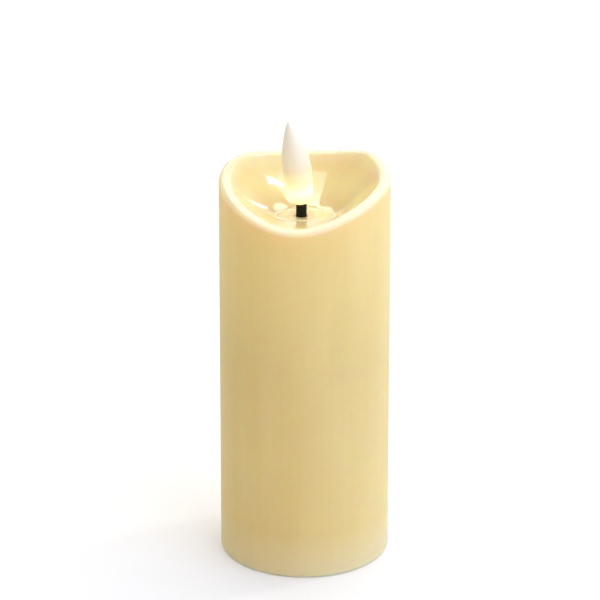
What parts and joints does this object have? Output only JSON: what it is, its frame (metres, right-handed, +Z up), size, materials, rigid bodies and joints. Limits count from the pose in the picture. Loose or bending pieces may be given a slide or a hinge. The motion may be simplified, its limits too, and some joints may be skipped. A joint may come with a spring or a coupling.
{
  "type": "flameless led candle",
  "caption": "Ivory wax pillar candle with a wavy melted rim and bowl, a black wick and a glowing teardrop flame; battery core, slide switch and hinged door in its base.",
  "frame": {"origin": "centre of the ring under the candle that it stands on", "axes": "+Z up along the candle's axis; -Y is the front, where the rim dips lowest; +X to the right"},
  "size_m": [0.055, 0.055, 0.1484],
  "materials": {
    "wax": "smooth ivory wax",
    "flame": "frosted, glowing",
    "wick_black": "matt",
    "core_plastic": "moulded",
    "door_plastic": "moulded",
    "knob_black": "moulded",
    "screw_steel": "zinc plated",
    "contact_nickel": "nickel plated",
    "cell_jacket": "plain painted jacket",
    "board_green": "solder mask",
    "chip_black": "moulded",
    "crystal_can": "drawn can",
    "capacitor_can": "sleeved can",
    "resistor_dark": "ceramic chip",
    "plug_white": "moulded",
    "wire_red": "insulation",
    "wire_white": "insulation",
    "switch_case": "pressed",
    "led_lens": "clear warm epoxy"
  },
  "bodies": {
    "candle": {"wax_shell": "wax", "flame_bulb": "flame", "led": "led_lens", "led_legs": "contact_nickel", "wick_sleeve": "wick_black", "wick_holder": "core_plastic", "core_tube": "core_plastic", "core_cap": "core_plastic", "cap_screws": "screw_steel", "battery_box": "core_plastic", "left_cell": "cell_jacket", "right_cell": "cell_jacket", "positive_contact": "contact_nickel", "negative_spring": "contact_nickel", "circuit_board": "board_green", "board_screws": "screw_steel", "controller_chip": "chip_black", "timing_crystal": "crystal_can", "capacitor": "capacitor_can", "chip_resistors": "resistor_dark", "wire_plug": "plug_white", "led_wires": "wire_red", "switch_wires": "wire_white", "base_plate": "core_plastic", "base_screws": "screw_steel", "switch_body": "switch_case", "switch_pins": "contact_nickel"},
    "switch_knob": {"switch_knob": "knob_black"},
    "battery_door": {"battery_door": "door_plastic", "bridge_contact": "contact_nickel"}
  },
  "joints": [
    {"name": "battery_door_hinge", "type": "hinge", "parent": "candle", "child": "battery_door", "pos_m": [-0.0194, 0, 0.0039], "axis": [0, 1, 0], "range_deg": [0, 90]},
    {"name": "switch_slide", "type": "slide", "parent": "candle", "child": "switch_knob", "axis": [1, 0, 0], "range_m": [-0.002, 0.002]}
  ]
}
